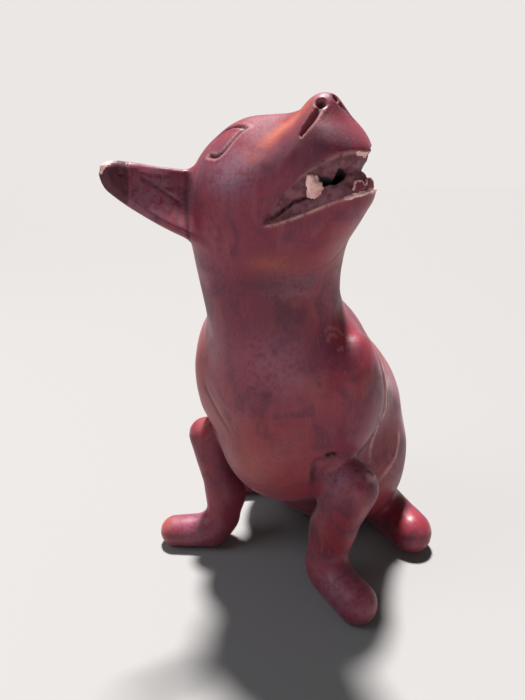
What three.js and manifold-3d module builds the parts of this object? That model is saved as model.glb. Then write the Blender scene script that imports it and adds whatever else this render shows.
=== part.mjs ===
// A pottery dog in burnished red clay: it sits up, turns its head to its left and lifts it with the
// mouth open. Millimetres, +Z up, +X to the dog's left, -Y the way the chest faces. The origin is on the
// floor at the middle of the seat.

import * as THREE from "three";
import { mergeVertices } from "three/addons/utils/BufferGeometryUtils.js";
import Module from "manifold-3d";

// Driving dimensions

// From the floor to the top of the nose.
const HEIGHT = 300;
// The pose of the head, in degrees: turned to the left, lifted, and leaning down on its right side.
const HEAD_TURN = 72;
const HEAD_LIFT = 25;
const HEAD_LEAN = 10;

// The layout

// The form is laid out in small units of which the whole height takes this many. Its own origin lies
// on the floor between the forelegs, this far in front of the seat.
const LAYOUT_HEIGHT = 296.15;
const SEAT_BACK = 86;
const UNIT = HEIGHT / LAYOUT_HEIGHT;

// The facets: how wide they are at the head, how wide at most, and how far from the head they widen.
const FACET_HEAD = 4.7;
const FACET_BODY = 10.2;
const FACET_CENTRE = [0, -10, 250];
const FACET_REACH = 78;
// The grid behind the facets, in its widest cells from the point where it is finest.
const GRID_LOW = [-24, -17, -35];
const GRID_COUNTS = [49, 42, 52];

// The head: its centre, and the directions of its own left, back and up.
const HEAD_CENTRE = [-12, 4, 255];
const HEAD_FRAME = new THREE.Matrix4()
  .makeRotationZ(THREE.MathUtils.degToRad(HEAD_TURN))
  .multiply(new THREE.Matrix4().makeRotationX(THREE.MathUtils.degToRad(-HEAD_LIFT)))
  .multiply(new THREE.Matrix4().makeRotationY(THREE.MathUtils.degToRad(-HEAD_LEAN)));

// The mouth: where its corner and its widest place lie ahead of the head's centre, how far below the
// centre it runs, how wide it gapes each way, and how deep the lips stand over the teeth at the sides
// and at the front. Behind the front teeth a hole runs from one side of the mouth to the other.
const MOUTH_CORNER = 18;
const MOUTH_WIDEST = 66;
const MOUTH_DROP = 24;
const MOUTH_GAPE = 9.5;
const LIP_DEPTH = 4;
const LIP_DEPTH_FRONT = 0.8;
const HOLE_DROP = 21.5;
const HOLE_HALF_HEIGHT = 4;
const HOLE_START = 49;
const FRONT_TEETH_START = 58;
const FRONT_TEETH_HALF_WIDTH = 5;

// The ear: the middle of its root and its tip from the head's centre, on the head's left.
const EAR_ROOT = [27, 17, 4.5];
const EAR_TIP = [72.5, 25, 37.5];
const EAR_ABOVE = 16.5;
const EAR_BELOW = 24.5;
const EAR_HALF_THICKNESS = 5.5;
const EAR_LINE = new THREE.Vector3(...EAR_TIP).sub(new THREE.Vector3(...EAR_ROOT));
const EAR_LENGTH = EAR_LINE.length();
const EAR_ALONG = EAR_LINE.normalize().toArray();
const EAR_FRONT = new THREE.Vector3(0.35, -0.92, -0.1)
  .projectOnPlane(EAR_LINE)
  .normalize()
  .toArray();
const EAR_UP = new THREE.Vector3(...EAR_FRONT).cross(EAR_LINE).toArray();

// The body: each form's middle and its half width, depth and height. The back is a ridge from behind
// the neck to above the rump, and the seat is the low part of the rump that reaches the floor.
const CHEST = { at: [-1, 23, 106.5], half: [46, 44.5, 55] };
const RIBS = { at: [-1.5, 45.5, 123], half: [54, 42, 28] };
const SHOULDER = { at: [48, 17, 140], half: [13, 20.5, 32] };
const RUMP = { at: [0, 82.5, 75.5], half: [60, 55.5, 70.5] };
const SEAT = { at: [0, SEAT_BACK, 24], half: [42, 24, 27] };
const BACK = { from: [-3.5, 48.5, 143.5], to: [3.5, 87, 107], radii: [45, 43] };
const NECK = { from: [-3, 14, 150], to: [-9.5, 10.5, 232], radii: [36.5, 44] };
const TAIL = { from: [0, 126, 34], to: [0, 133, 58], radii: [9, 6.5] };

// The legs, given for the left side with X outwards. The forelegs differ a little from each other.
const FORELEG = {
  left: {
    knee: [50.5, 12, 77],
    shin: [38.5, 15.5, 41],
    ankle: [36, 10.5, 19],
    heel: [41.5, 7.5, 10.5],
    toe: [64, -6, 10],
    radii: { knee: 16.5, shin: 13.5, ankle: 13, paw: 13 },
  },
  right: {
    knee: [59, 12.5, 86],
    shin: [45.5, 16, 40],
    ankle: [47.5, 15, 20.5],
    heel: [53, 8, 11],
    toe: [76.5, -5.5, 10],
    radii: { knee: 12, shin: 12.5, ankle: 12, paw: 11 },
  },
};
const THIGH = { at: [39, 80, 59], half: [24, 35.5, 44], turn: 14 };
const HIND_PAW = { from: [45.5, 100.5, 12], to: [75.5, 76, 12.5], radii: [17, 15] };

// How softly each form runs into the ones before it.
const BLEND = {
  ribs: 8,
  shoulder: 30,
  neck: 24,
  spine: 20,
  back: 24,
  seat: 12,
  skull: 10,
  tail: 6,
  ear: 6,
  foreleg: 9,
  shin: 8,
  thigh: 7,
  hindPaw: 8,
  mouth: 1.5,
};

// Distances, negative inside

function ellipsoid(p, centre, radii) {
  const x = (p[0] - centre[0]) / radii[0];
  const y = (p[1] - centre[1]) / radii[1];
  const z = (p[2] - centre[2]) / radii[2];
  const k = Math.hypot(x, y, z);
  const slope = Math.hypot(x / radii[0], y / radii[1], z / radii[2]) + 1e-9;
  return (k * (k - 1)) / slope;
}

// Two balls of different radius and the cone between them.
function taper(p, a, b, radiusA, radiusB) {
  const axis = [b[0] - a[0], b[1] - a[1], b[2] - a[2]];
  const square = axis[0] ** 2 + axis[1] ** 2 + axis[2] ** 2;
  const fall = radiusA - radiusB;
  const rest = square - fall * fall;
  const from = [p[0] - a[0], p[1] - a[1], p[2] - a[2]];
  const y = from[0] * axis[0] + from[1] * axis[1] + from[2] * axis[2];
  const z = y - square;
  let across = 0;
  for (let i = 0; i < 3; i += 1) {
    across += (from[i] * square - axis[i] * y) ** 2;
  }
  const along = y * y * square;
  const beyond = z * z * square;
  const limit = Math.sign(fall) * fall * fall * across;
  if (Math.sign(z) * rest * beyond > limit) {
    return Math.sqrt(across + beyond) / square - radiusB;
  }
  if (Math.sign(y) * rest * along < limit) {
    return Math.sqrt(across + along) / square - radiusA;
  }
  return (Math.sqrt((across * rest) / square) + y * fall) / square - radiusA;
}

// Join and cut with a soft fillet of the given width.
function join(a, b, width) {
  const h = Math.max(width - Math.abs(a - b), 0) / width;
  return Math.min(a, b) - h * h * width * 0.25;
}

function meet(a, b, width) {
  return -join(-a, -b, width);
}

function clamp(value, low, high) {
  return Math.min(Math.max(value, low), high);
}

function plus(a, b, scale = 1) {
  return [a[0] + b[0] * scale, a[1] + b[1] * scale, a[2] + b[2] * scale];
}

function dot(a, b) {
  return a[0] * b[0] + a[1] * b[1] + a[2] * b[2];
}

// The body

// The far side of the body is the near side mirrored.
function outwards(p, side) {
  return [p[0] * side, p[1], p[2]];
}

function bothSides(make, width) {
  return join(make(1), make(-1), width);
}

function bulk(p, form) {
  return ellipsoid(p, form.at, form.half);
}

function limb(p, form) {
  return taper(p, form.from, form.to, ...form.radii);
}

function torso(p) {
  const ribs = join(bulk(p, CHEST), bulk(p, RIBS), BLEND.ribs);
  const shoulders = bothSides((side) => bulk(outwards(p, side), SHOULDER), BLEND.ribs);
  const front = join(join(ribs, shoulders, BLEND.shoulder), limb(p, NECK), BLEND.neck);
  const back = join(limb(p, BACK), bulk(p, RUMP), BLEND.spine);
  return join(join(front, back, BLEND.back), bulk(p, SEAT), BLEND.seat);
}

function foreleg(p, side) {
  const leg = side > 0 ? FORELEG.left : FORELEG.right;
  const q = outwards(p, side);
  const shin = taper(q, leg.knee, leg.shin, leg.radii.knee, leg.radii.shin);
  const ankle = taper(q, leg.shin, leg.ankle, leg.radii.shin, leg.radii.ankle);
  const paw = taper(q, leg.heel, leg.toe, leg.radii.ankle, leg.radii.paw);
  return join(join(shin, ankle, BLEND.shin), paw, BLEND.foreleg);
}

function thigh(p, side) {
  const q = plus(outwards(p, side), THIGH.at, -1);
  const turn = THREE.MathUtils.degToRad(THIGH.turn);
  const turned = [
    q[0] * Math.cos(turn) - q[1] * Math.sin(turn),
    q[0] * Math.sin(turn) + q[1] * Math.cos(turn),
    q[2],
  ];
  return ellipsoid(turned, [0, 0, 0], THIGH.half);
}

// The head

function headPlace(p) {
  const e = HEAD_FRAME.elements;
  const d = [p[0] - HEAD_CENTRE[0], p[1] - HEAD_CENTRE[1], p[2] - HEAD_CENTRE[2]];
  return [
    d[0] * e[0] + d[1] * e[1] + d[2] * e[2],
    d[0] * e[4] + d[1] * e[5] + d[2] * e[6],
    d[0] * e[8] + d[1] * e[9] + d[2] * e[10],
  ];
}

function head(q) {
  const skull = ellipsoid(q, [0, 2.5, -0.5], [34, 42, 33]);
  const cheeks = ellipsoid(q, [0, -4, -24], [34, 36, 28]);
  const ridge = taper(q, [0, -11, 10], [0, -53, 6.5], 18, 7.5);
  const nose = ellipsoid(q, [0, -59, 10], [8, 8, 7]);
  const front = bothSides((s) => taper(q, [4 * s, -56.5, 2.5], [3 * s, -61.5, -15], 8.5, 8.5), 6);
  const flanks = bothSides((s) => taper(q, [9 * s, -20, -2], [8 * s, -54, 0], 16, 8.5), 8);
  const lips = bothSides((s) => taper(q, [12 * s, -12, -11], [8 * s, -56.5, -12], 22, 11.5), 10);
  const jaw = bothSides((s) => taper(q, [7 * s, -7, -38.5], [5.5 * s, -51.5, -27.5], 22, 12.5), 10);
  const muzzle = join(join(join(join(ridge, flanks, 7), lips, 12), nose, 7), front, 6);
  return join(join(join(skull, cheeks, 14), muzzle, 10), jaw, 8);
}

// What the open mouth takes out of the head whose distance is given.
function mouth(q, solid) {
  const ahead = -q[1];
  const back = (MOUTH_WIDEST - clamp(ahead, MOUTH_CORNER, MOUTH_WIDEST)) / (MOUTH_WIDEST - MOUTH_CORNER);
  const gape = Math.abs(q[2] + MOUTH_DROP) - MOUTH_GAPE * (1 - back * back);
  const depth = LIP_DEPTH + (LIP_DEPTH_FRONT - LIP_DEPTH) * clamp((ahead - HOLE_START) / 15, 0, 1);
  const lips = meet(meet(gape, MOUTH_CORNER - ahead, 3), -(solid + depth), 2);
  const frontTeeth = meet(FRONT_TEETH_START - ahead, Math.abs(q[0]) - FRONT_TEETH_HALF_WIDTH, 3);
  const tall = Math.abs(q[2] + HOLE_DROP) - HOLE_HALF_HEIGHT;
  const hole = meet(meet(tall, HOLE_START - ahead, 4), -frontTeeth, 2);
  return join(lips, hole, 1);
}

// An ear is a leaf with a hollow front, narrower towards its tip.
function ear(q, side) {
  const from = plus(outwards(q, side), EAR_ROOT, -1);
  const a = dot(from, EAR_ALONG);
  const t = dot(from, EAR_FRONT);
  const w = dot(from, EAR_UP);
  const length = EAR_LENGTH;
  const share = clamp((a + 8) / (length + 8), 0, 1);
  const above = w - EAR_ABOVE + 12.5 * share;
  const below = -w - EAR_BELOW * Math.sqrt(clamp(1 - 0.86 * share ** 1.6, 0, 1)) + 2.5 * share;
  const edge = Math.max(meet(meet(above * 0.97, below * 0.88, 4), a - length, 7), -10 - a);
  const cup = 0.014 * w * w * (1 - share);
  const face = Math.abs(t - cup + 4) - EAR_HALF_THICKNESS + 0.04 * a;
  return meet(edge, face, 5);
}

// The whole figure

function dog(p) {
  const q = headPlace(p);
  let d = join(torso(p), head(q), BLEND.skull);
  d = join(d, limb(p, TAIL), BLEND.tail);
  for (const side of [1, -1]) {
    d = join(d, ear(q, side), BLEND.ear);
    d = join(d, foreleg(p, side), BLEND.foreleg);
    d = join(d, thigh(p, side), BLEND.thigh);
    d = join(d, limb(outwards(p, side), HIND_PAW), BLEND.hindPaw);
  }
  return meet(d, -mouth(q, d), BLEND.mouth);
}

// The facets

const AXES = [
  [1, 0, 0],
  [0, 1, 0],
  [0, 0, 1],
];

// Moves a point of an even grid so that the grid is fine around the head and wide far from it.
function spread(g) {
  const d = Math.hypot(...g);
  const near = FACET_HEAD / FACET_BODY;
  const out = Math.max(d - FACET_REACH / near, 0);
  const scale = d > 0 ? (Math.min(d, FACET_REACH / near) * near + out * 1.12) / d : near;
  return [0, 1, 2].map((i) => FACET_CENTRE[i] + g[i] * scale);
}

// Walks a point to the surface along the slope of the field.
function settle(field, p, reach) {
  let q = p;
  for (let step = 0; step < 3; step += 1) {
    const f = field(q);
    const slope = AXES.map((axis) => (field(plus(q, axis, 0.02)) - f) / 0.02);
    const go = clamp(-f / Math.max(dot(slope, slope), 0.2), -reach, reach);
    q = plus(q, slope, go);
  }
  return q;
}

// The twelve edges of a grid cell: the axis each runs along and where it starts.
const CELL_EDGES = [0, 1, 2].flatMap((axis) =>
  [0, 1, 2, 3].map((turn) => {
    const start = [0, 0, 0];
    start[(axis + 1) % 3] = turn === 1 || turn === 2 ? 1 : 0;
    start[(axis + 2) % 3] = turn > 1 ? 1 : 0;
    return { axis, turn, start, end: plus(start, AXES[axis]) };
  }),
);

// The six faces of a grid cell, each as the edges that lie on it.
const CELL_FACES = [0, 1, 2].flatMap((axis) =>
  [0, 1].map((level) =>
    CELL_EDGES.filter((edge) => edge.axis !== axis && edge.start[axis] === level),
  ),
);

function touches(edge, corner) {
  return String(edge.start) === String(corner) || String(edge.end) === String(corner);
}

// Groups the crossed edges of a cell into the separate sheets that pass through it.
function sheets(crossed, inside) {
  const group = new Map(crossed.map((edge) => [edge, edge]));
  const unite = (a, b) => {
    const from = group.get(b);
    const to = group.get(a);
    for (const [edge, label] of group) {
      if (label === from) {
        group.set(edge, to);
      }
    }
  };
  for (const face of CELL_FACES) {
    const cut = face.filter((edge) => group.has(edge));
    if (cut.length === 2) {
      unite(cut[0], cut[1]);
    } else if (cut.length === 4) {
      for (const edge of cut) {
        const corner = inside(edge.start) ? edge.start : edge.end;
        const twin = cut.find((other) => other !== edge && touches(other, corner));
        unite(edge, twin);
      }
    }
  }
  return group;
}

// The closed surface where the field is nought, one corner for each sheet in each grid cell.
function surface(field, low, counts) {
  const at = (c) => plus(low, c, FACET_BODY);
  const key = (c) => (c[2] * counts[1] + c[1]) * counts[0] + c[0];
  const values = new Float64Array(counts[0] * counts[1] * counts[2]);
  for (let z = 0; z < counts[2]; z += 1) {
    for (let y = 0; y < counts[1]; y += 1) {
      for (let x = 0; x < counts[0]; x += 1) {
        values[key([x, y, z])] = field(spread(at([x, y, z])));
      }
    }
  }
  const corners = [];
  const quads = new Map();
  for (let z = 0; z < counts[2] - 1; z += 1) {
    for (let y = 0; y < counts[1] - 1; y += 1) {
      for (let x = 0; x < counts[0] - 1; x += 1) {
        const cell = [x, y, z];
        const value = (c) => values[key(plus(cell, c))];
        const inside = (c) => value(c) < 0;
        const crossed = CELL_EDGES.filter((edge) => inside(edge.start) !== inside(edge.end));
        if (crossed.length === 0) {
          continue;
        }
        const group = sheets(crossed, inside);
        const sums = new Map();
        for (const edge of crossed) {
          const label = group.get(edge);
          const share = value(edge.start) / (value(edge.start) - value(edge.end));
          const point = plus(plus(cell, edge.start), AXES[edge.axis], share);
          if (!sums.has(label)) {
            sums.set(label, { index: corners.length + sums.size, sum: [0, 0, 0], count: 0 });
          }
          const entry = sums.get(label);
          entry.sum = plus(entry.sum, point);
          entry.count += 1;
          const place = key(plus(cell, edge.start)) * 3 + edge.axis;
          if (!quads.has(place)) {
            quads.set(place, { corners: [], outward: inside(edge.start) });
          }
          quads.get(place).corners[edge.turn] = entry.index;
        }
        for (const entry of sums.values()) {
          corners.push(spread(at(entry.sum.map((v) => v / entry.count))));
        }
      }
    }
  }
  const faces = [...quads.values()].map((quad) =>
    quad.outward ? quad.corners : [...quad.corners].reverse(),
  );
  return { corners, faces };
}

// Evens out the facets and brings each corner back to the surface.
function even(field, mesh, rounds) {
  for (let round = 0; round < rounds; round += 1) {
    const sums = mesh.corners.map(() => [0, 0, 0, 0]);
    for (const face of mesh.faces) {
      for (let i = 0; i < 4; i += 1) {
        const here = sums[face[i]];
        const next = mesh.corners[face[(i + 1) % 4]];
        for (let k = 0; k < 3; k += 1) {
          here[k] += next[k];
        }
        here[3] += 1;
      }
    }
    mesh.corners = mesh.corners.map((corner, i) => {
      const middle = sums[i].slice(0, 3).map((v) => v / sums[i][3]);
      const moved = corner.map((v, k) => v * 0.6 + middle[k] * 0.4);
      return settle(field, moved, FACET_HEAD / 4);
    });
  }
}

function triangles({ corners, faces }) {
  const apart = (a, b) => Math.hypot(...plus(corners[a], corners[b], -1));
  return faces.flatMap(([a, b, c, d]) =>
    apart(a, c) < apart(b, d) ? [a, b, c, a, c, d] : [a, b, d, b, c, d],
  );
}

// The solid, cut flat where it stands on the floor

const wasm = await Module();
wasm.setup();

function solidFrom(positions, indices) {
  const vertProperties = new Float32Array(positions);
  const triVerts = new Uint32Array(indices);
  return new wasm.Manifold(new wasm.Mesh({ numProp: 3, vertProperties, triVerts }));
}

function solidFromGeometry(geometry) {
  const bare = geometry.clone();
  bare.deleteAttribute("normal");
  bare.deleteAttribute("uv");
  const merged = mergeVertices(bare);
  return solidFrom(merged.attributes.position.array, merged.index.array);
}

function geometryFrom(solid) {
  const mesh = solid.getMesh();
  const geometry = new THREE.BufferGeometry();
  geometry.setAttribute("position", new THREE.BufferAttribute(new Float32Array(mesh.vertProperties), 3));
  geometry.setIndex(new THREE.BufferAttribute(new Uint32Array(mesh.triVerts), 1));
  geometry.computeVertexNormals();
  return geometry;
}

function build() {
  const mesh = surface(dog, GRID_LOW.map((v) => v * FACET_BODY), GRID_COUNTS);
  even(dog, mesh, 2);
  // A corner that lies almost on the floor is moved off it, so that the cut leaves no slivers.
  const clear = 0.3;
  const positions = mesh.corners.flatMap((corner) => {
    const z = Math.abs(corner[2]) < clear ? Math.sign(corner[2] || 1) * clear : corner[2];
    return [corner[0] * UNIT, (corner[1] - SEAT_BACK) * UNIT, z * UNIT];
  });
  const figure = solidFrom(positions, triangles(mesh));
  const below = new THREE.BoxGeometry(HEIGHT * 2, HEIGHT * 2, HEIGHT);
  below.translate(0, 0, -HEIGHT / 2);
  return geometryFrom(figure.subtract(solidFromGeometry(below)));
}

const clay = new THREE.MeshStandardMaterial({
  name: "burnished_clay",
  color: 0x9a4f45,
  roughness: 0.42,
  metalness: 0,
});
const figure = new THREE.Mesh(build(), clay);
figure.name = "dog";

const root = new THREE.Group();
root.name = "seated_dog";
root.add(figure);

export default root;
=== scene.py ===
"""Seated dog figure in burnished terracotta: fine surface, finish, floor, light and camera."""
import math

import bpy
import numpy as np
from mathutils import Matrix, Vector


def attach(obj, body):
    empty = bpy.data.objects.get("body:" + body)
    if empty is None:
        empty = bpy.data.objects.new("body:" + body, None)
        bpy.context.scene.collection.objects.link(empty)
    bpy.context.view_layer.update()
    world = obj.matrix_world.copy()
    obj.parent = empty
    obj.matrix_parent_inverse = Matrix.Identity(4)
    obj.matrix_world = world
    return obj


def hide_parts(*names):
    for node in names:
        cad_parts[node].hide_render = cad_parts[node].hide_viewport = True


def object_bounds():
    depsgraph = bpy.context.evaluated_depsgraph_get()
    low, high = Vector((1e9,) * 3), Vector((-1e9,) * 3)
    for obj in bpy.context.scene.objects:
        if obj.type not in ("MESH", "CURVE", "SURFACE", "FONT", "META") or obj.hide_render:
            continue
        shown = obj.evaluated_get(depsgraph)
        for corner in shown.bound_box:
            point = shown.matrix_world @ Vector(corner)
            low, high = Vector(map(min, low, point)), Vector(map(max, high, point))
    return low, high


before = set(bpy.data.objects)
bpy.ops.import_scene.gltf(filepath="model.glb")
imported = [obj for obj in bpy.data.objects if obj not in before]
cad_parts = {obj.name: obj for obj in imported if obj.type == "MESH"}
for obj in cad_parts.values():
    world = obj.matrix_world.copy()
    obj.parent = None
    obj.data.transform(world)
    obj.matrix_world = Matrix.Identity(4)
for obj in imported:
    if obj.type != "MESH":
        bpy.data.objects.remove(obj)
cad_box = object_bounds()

A = np.array

# Layout: millimetres, origin on the floor between the forelegs, +x the dog's left, -y forward.
HEIGHT = 300.0
LAYOUT_HEIGHT = 296.15
SEAT_BACK = 86.0
UNIT = HEIGHT / LAYOUT_HEIGHT

# Cell sizes of the fine surface, on the face and on the rest.
CELL_FACE = 1.03
CELL_BODY = 2.22
FACE_CENTRE = A([4.0, -30.0, 262.0])
FACE_REACH = 72.0


# Distance fields

def ellipsoid(p, centre, radii):
    q = p - A(centre, float)
    radii = A(radii, float)
    near = np.sqrt(((q / radii) ** 2).sum(-1))
    slope = np.sqrt(((q / radii ** 2) ** 2).sum(-1)) + 1e-9
    return near * (near - 1.0) / slope


def taper(p, start, end, r_start, r_end):
    """A cone with round ends."""
    a = A(start, float)
    line = A(end, float) - a
    l2 = line @ line
    dr = r_start - r_end
    a2 = l2 - dr * dr
    pa = p - a
    y = pa @ line
    z = y - l2
    x2 = ((pa * l2 - y[:, None] * line) ** 2).sum(-1)
    y2 = y * y * l2
    z2 = z * z * l2
    k = np.sign(dr) * dr * dr * x2
    side = (np.sqrt(x2 * a2 / l2) + y * dr) / l2 - r_start
    past = np.sign(z) * a2 * z2 > k
    before = (np.sign(y) * a2 * y2 < k) & ~past
    side = np.where(past, np.sqrt(x2 + z2) / l2 - r_end, side)
    return np.where(before, np.sqrt(x2 + y2) / l2 - r_start, side)


def join(a, b, soft):
    h = np.maximum(soft - np.abs(a - b), 0.0) / soft
    return np.minimum(a, b) - h * h * soft * 0.25


def meet(a, b, soft):
    return -join(-a, -b, soft)


def turn(axis, degrees):
    return A(Matrix.Rotation(math.radians(degrees), 3, axis))


def step(x, low, high):
    """Rises smoothly from 0 at low to 1 at high."""
    t = np.clip((x - low) / (high - low), 0, 1)
    return t * t * (3 - 2 * t)


def bell(x, wide):
    return np.exp(-(x / wide) ** 2)


def grain(p, size, seed=0):
    """Smooth noise from -1 to 1 with lumps of about that size."""
    g = p / size
    cell = np.floor(g).astype(np.int64)
    w = g - cell
    w = w * w * (3 - 2 * w)
    total = np.zeros(len(p))
    for corner in np.ndindex(2, 2, 2):
        i = cell + A(corner)
        h = i[:, 0] * 73856093 ^ i[:, 1] * 19349663 ^ i[:, 2] * 83492791 ^ (seed * 40503 + 977)
        h &= 0xFFFFFFFF
        h = (h ^ (h >> 13)) * 1274126177 & 0xFFFFFFFF
        h ^= h >> 16
        weight = np.prod(np.where(corner, w, 1 - w), axis=1)
        total += weight * ((h & 0xFFFF) / 32767.5 - 1)
    return total


def smooth_line(points, closed=False, pieces=6):
    """A smooth curve through the points."""
    p = A(points, float)
    if closed:
        p = np.vstack([p[-1:], p, p[:2]])
    else:
        p = np.vstack([2 * p[0] - p[1], p, 2 * p[-1] - p[-2]])
    out = []
    for i in range(1, len(p) - 2):
        for t in np.arange(pieces) / pieces:
            a, b, c, d = p[i - 1:i + 3]
            out.append(b + 0.5 * t * (c - a + t * (2 * a - 5 * b + 4 * c - d + t * (3 * (b - c) + d - a))))
    out.append(p[-2])
    return A(out)


def to_line(p, line, reach=8.0):
    """Distance to a curve and the share of the way along it, for the points within reach."""
    dist = np.full(len(p), 1e3)
    along = np.zeros(len(p))
    low, high = line.min(0) - reach, line.max(0) + reach
    near = np.flatnonzero(((p > low) & (p < high)).all(1))
    q = p[near]
    best = np.full(len(q), 1e6)
    where = np.zeros(len(q))
    for i in range(len(line) - 1):
        a, ab = line[i], line[i + 1] - line[i]
        t = np.clip((q - a) @ ab / (ab @ ab + 1e-9), 0, 1)
        d = ((q - a - t[:, None] * ab) ** 2).sum(1)
        closer = d < best
        best[closer] = d[closer]
        where[closer] = (i + t[closer]) / (len(line) - 1)
    dist[near] = np.sqrt(best)
    along[near] = where
    return dist, along


def on_skin(dist, depth):
    """The distance measured along the surface, for a point that lies at that depth below it."""
    return np.sqrt(np.maximum(dist ** 2 - depth ** 2, 0))


# Body

def folded(p):
    """Lays the other side over the first one, for details that are the same on both."""
    return np.stack([np.abs(p[:, 0]), p[:, 1], p[:, 2]], 1)


def mirrored(make, soft):
    return join(make(1), make(-1), soft)


def torso(p):
    ribs = join(ellipsoid(p, (-1, 23, 106.5), (46, 44.5, 55)),
                ellipsoid(p, (-1.5, 45.5, 123), (54, 42, 28)), 8)
    shoulders = mirrored(lambda side: ellipsoid(p * A([side, 1, 1]), (48, 17, 140), (13, 20.5, 32)), 8)
    neck = taper(p, (-3, 14, 150), (-9.5, 10.5, 232), 36.5, 44)
    front = join(join(ribs, shoulders, 30), neck, 24)
    spine = taper(p, (-3.5, 48.5, 143.5), (3.5, 87, 107), 45, 43)
    back = join(spine, ellipsoid(p, (0, 82.5, 75.5), (60, 55.5, 70.5)), 20)
    return join(join(front, back, 24), ellipsoid(p, (0, SEAT_BACK, 24), (42, 24, 27)), 12)


LEGS = {
    1: dict(knee=(50.5, 12, 77), shin=(38.5, 15.5, 41), ankle=(36, 10.5, 19), heel=(41.5, 7.5, 10.5),
            toe=(64, -6, 10), radii=(16.5, 13.5, 13, 13)),
    -1: dict(knee=(59, 12.5, 86), shin=(45.5, 16, 40), ankle=(47.5, 15, 20.5), heel=(53, 8, 11),
             toe=(76.5, -5.5, 10), radii=(12, 12.5, 12, 11)),
}


def foreleg(p, side):
    leg = LEGS[side]
    knee, shin, ankle, paw = leg["radii"]
    q = p * A([side, 1, 1])
    d = taper(q, leg["knee"], leg["shin"], knee, shin)
    d = join(d, taper(q, leg["shin"], leg["ankle"], shin, ankle), 8)
    return join(d, taper(q, leg["heel"], leg["toe"], ankle, paw), 9)


def thigh(p, side):
    rot = turn("Z", -14)
    return ellipsoid((p * A([side, 1, 1]) - A([39, 80, 59])) @ rot, (0, 0, 0), (24, 35.5, 44))


def hind_paw(p, side):
    return taper(p * A([side, 1, 1]), (45.5, 100.5, 12), (75.5, 76, 12.5), 17, 15)


def tail(p):
    return taper(p, (0, 126, 34), (0, 133, 58), 9, 6.5)


# Head, in its own frame: x its left, -y forward, z up. It is turned to the dog's left, lifted, and
# leans to its right.

HEAD_AT = A([-12.0, 4.0, 255.0])
HEAD_TURN = turn("Z", 72) @ turn("X", -25) @ turn("Y", -10)


def to_head(p):
    return (p - HEAD_AT) @ HEAD_TURN


def head(q):
    skull = ellipsoid(q, (0, 2.5, -0.5), (34, 42, 33))
    cheeks = ellipsoid(q, (0, -4, -24), (34, 36, 28))
    ridge = taper(q, (0, -11, 10), (0, -53, 6.5), 18, 7.5)
    nose = ellipsoid(q, (0, -59, 10), (8, 8, 7))
    front = mirrored(lambda s: taper(q, (4 * s, -56.5, 2.5), (3 * s, -61.5, -15), 8.5, 8.5), 6)
    flanks = mirrored(lambda s: taper(q, (9 * s, -20, -2), (8 * s, -54, 0), 16, 8.5), 8)
    lips = mirrored(lambda s: taper(q, (12 * s, -12, -11), (8 * s, -56.5, -12), 22, 11.5), 10)
    jaw = mirrored(lambda s: taper(q, (7 * s, -7, -38.5), (5.5 * s, -51.5, -27.5), 22, 12.5), 10)
    muzzle = join(join(join(join(ridge, flanks, 7), lips, 12), nose, 7), front, 6)
    return join(join(join(skull, cheeks, 14), muzzle, 10), jaw, 8)


EAR_ROOT = A([27, 17, 4.5])
EAR_TIP = A([72.5, 25, 37.5])
EAR_LENGTH = np.linalg.norm(EAR_TIP - EAR_ROOT)
EAR_ALONG = (EAR_TIP - EAR_ROOT) / EAR_LENGTH
EAR_FRONT = A([0.35, -0.92, -0.1])
EAR_FRONT = EAR_FRONT - EAR_ALONG * (EAR_FRONT @ EAR_ALONG)
EAR_FRONT /= np.linalg.norm(EAR_FRONT)
EAR_UP = np.cross(EAR_FRONT, EAR_ALONG)


def to_ear(q, side):
    """Along, across upwards and out of the front face of the ear on that side."""
    e = q * A([side, 1, 1]) - EAR_ROOT
    return np.stack([e @ EAR_ALONG, e @ EAR_UP, e @ EAR_FRONT], 1)


def ear(q, side):
    a, w, t = to_ear(q, side).T
    k = np.clip((a + 8) / (EAR_LENGTH + 8), 0, 1)
    above = w - 16.5 + 12.5 * k
    below = -w - 24.5 * np.sqrt(np.clip(1 - 0.86 * k ** 1.6, 0, 1)) + 2.5 * k
    edge = np.maximum(meet(meet(above * 0.97, below * 0.88, 4), a - EAR_LENGTH, 7), -10 - a)
    cup = 0.014 * w * w * (1 - k)
    face = np.abs(t - cup + 4) - 5.5 + 0.04 * a
    return meet(edge, face, 5)


# Carving of the head. Places are (to its right, forward, up).

EYE_UPPER = smooth_line([(26.8, 2.8, 19.5), (24.2, 2.8, 22.4), (21.3, 3.7, 24.8),
                         (16.2, 6.8, 28), (14.4, 15.3, 26.8), (15.4, 24, 22.1)])
EYE_LOWER = smooth_line([(15.4, 24, 22.1), (18.8, 21.4, 21), (23.3, 18.2, 18.6), (27.1, 14, 16),
                         (28.4, 9.2, 15.9), (26.8, 2.8, 19.5)])
SLIT_RIGHT = smooth_line([(8.4, 64.0, 9.2), (11.3, 62.2, 7.2), (14.2, 60.1, 5.1),
                          (16.5, 57.8, 3.3), (18.5, 55.2, 1.0)])
SLIT_EDGE = smooth_line([(7.5, 65.2, 8.2), (10.0, 64.2, 5.9), (13.2, 62.0, 3.4),
                         (16.3, 59.2, 1.6), (18.8, 55.6, 0.2)])
SLIT_LEFT = smooth_line([(-0.5, 67.5, 8.0), (-3.5, 67.5, 5.5), (-6.3, 67.0, 2.5),
                         (-7.0, 67.6, -1.0)])
NOSTRILS = [((7.4, 64.4, 10.8), (2.2, 2.6, 2.7)), ((-0.4, 67.4, 10.8), (1.7, 2.4, 2.1))]
MUZZLE_EDGE = smooth_line([(18.5, 55.0, -1.0), (21.5, 49.5, -4.0), (24.5, 44.0, -8.0),
                           (27.2, 37.5, -12.0)])

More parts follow.
